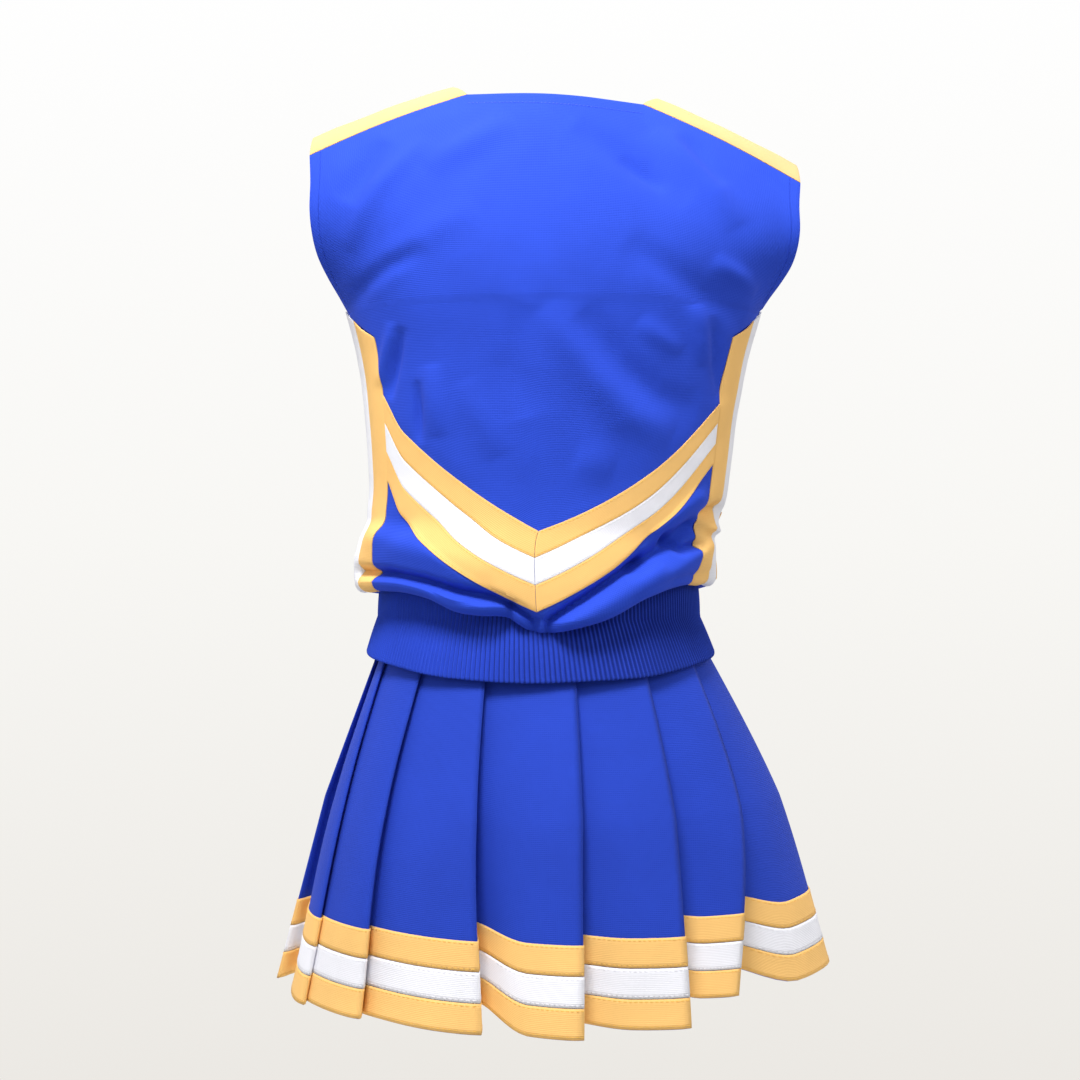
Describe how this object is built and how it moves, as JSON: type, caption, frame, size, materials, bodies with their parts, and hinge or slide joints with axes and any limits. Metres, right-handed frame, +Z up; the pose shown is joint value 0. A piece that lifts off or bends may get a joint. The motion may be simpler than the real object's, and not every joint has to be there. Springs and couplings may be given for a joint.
{
  "type": "cheer uniform",
  "caption": "Two-piece cheer uniform: sleeveless shell top with chevrons and rib waistband over a short knife-pleated skirt with braided hem.",
  "frame": {"origin": "middle of the wearer's waist, inside the skirt's waistband", "axes": "+X towards the wearer's right, +Y towards the wearer's front, +Z up"},
  "size_m": [0.4745, 0.3909, 0.7585],
  "materials": {
    "blue_knit": "royal-blue double-knit polyester, soft sheen",
    "yellow_knit": "golden-yellow knit braid",
    "white_knit": "white knit braid",
    "rib_knit": "royal-blue rib knit",
    "pleat_knit": "royal-blue double knit, pressed pleats",
    "lining_knit": "plain royal-blue lining",
    "label_satin": "plain white satin",
    "zip_tape": "woven zip tape",
    "zip_teeth": "nylon coil",
    "nickel": "nickel-plated"
  },
  "bodies": {
    "skirt": {"skirt_waistband": "blue_knit", "waistband_lining": "lining_knit", "pleat_01_front": "pleat_knit", "pleat_01_back": "pleat_knit", "pleat_02": "pleat_knit", "pleat_03": "pleat_knit", "pleat_04": "pleat_knit", "pleat_05": "pleat_knit", "pleat_06": "pleat_knit", "pleat_07": "pleat_knit", "pleat_08": "pleat_knit", "pleat_09": "pleat_knit", "pleat_10": "pleat_knit", "pleat_11": "pleat_knit", "pleat_12": "pleat_knit", "pleat_13": "pleat_knit", "pleat_14": "pleat_knit", "pleat_15": "pleat_knit", "hem_stripe_lower": "yellow_knit", "hem_stripe_middle": "white_knit", "hem_stripe_upper": "yellow_knit", "zip_tape_left": "zip_tape", "zip_coil_left": "zip_teeth", "zip_top_stop_left": "nickel", "zip_tape_right": "zip_tape", "zip_coil_right": "zip_teeth", "zip_top_stop_right": "nickel", "zip_bottom_stop": "nickel", "waist_hook": "nickel", "waist_bar": "nickel"},
    "shell": {"back_panel": "blue_knit", "front_panel": "blue_knit", "rib_waistband": "rib_knit", "back_neck_facing": "blue_knit", "front_neck_facing": "blue_knit", "neck_label": "label_satin", "side_stripe_yellow_left": "yellow_knit", "side_stripe_white_left": "white_knit", "shoulder_strip_left": "yellow_knit", "armhole_facing_left": "blue_knit", "back_chevron_upper_left": "yellow_knit", "back_chevron_middle_left": "white_knit", "back_chevron_lower_left": "yellow_knit", "front_chevron_upper_left": "yellow_knit", "front_chevron_middle_left": "white_knit", "front_chevron_lower_left": "yellow_knit", "side_stripe_yellow_right": "yellow_knit", "side_stripe_white_right": "white_knit", "shoulder_strip_right": "yellow_knit", "armhole_facing_right": "blue_knit", "back_chevron_upper_right": "yellow_knit", "back_chevron_middle_right": "white_knit", "back_chevron_lower_right": "yellow_knit", "front_chevron_upper_right": "yellow_knit", "front_chevron_middle_right": "white_knit", "front_chevron_lower_right": "yellow_knit"},
    "zip_slider": {"zip_slider": "nickel"},
    "zip_pull": {"zip_pull": "nickel"}
  },
  "joints": [
    {"name": "shell_lift", "type": "slide", "parent": "skirt", "child": "shell", "axis": [0, 0, 1], "range_m": [0, 0.25]},
    {"name": "zip_slide", "type": "slide", "parent": "skirt", "child": "zip_slider", "axis": [-0.3206, 0.0757, -0.9442], "range_m": [0, 0.098]},
    {"name": "pull_hinge", "type": "hinge", "parent": "zip_slider", "child": "zip_pull", "pos_m": [-0.14817, 0.0212, -0.03789], "axis": [0.3322, 0.9425, -0.0372], "range_deg": [0, 120]}
  ]
}
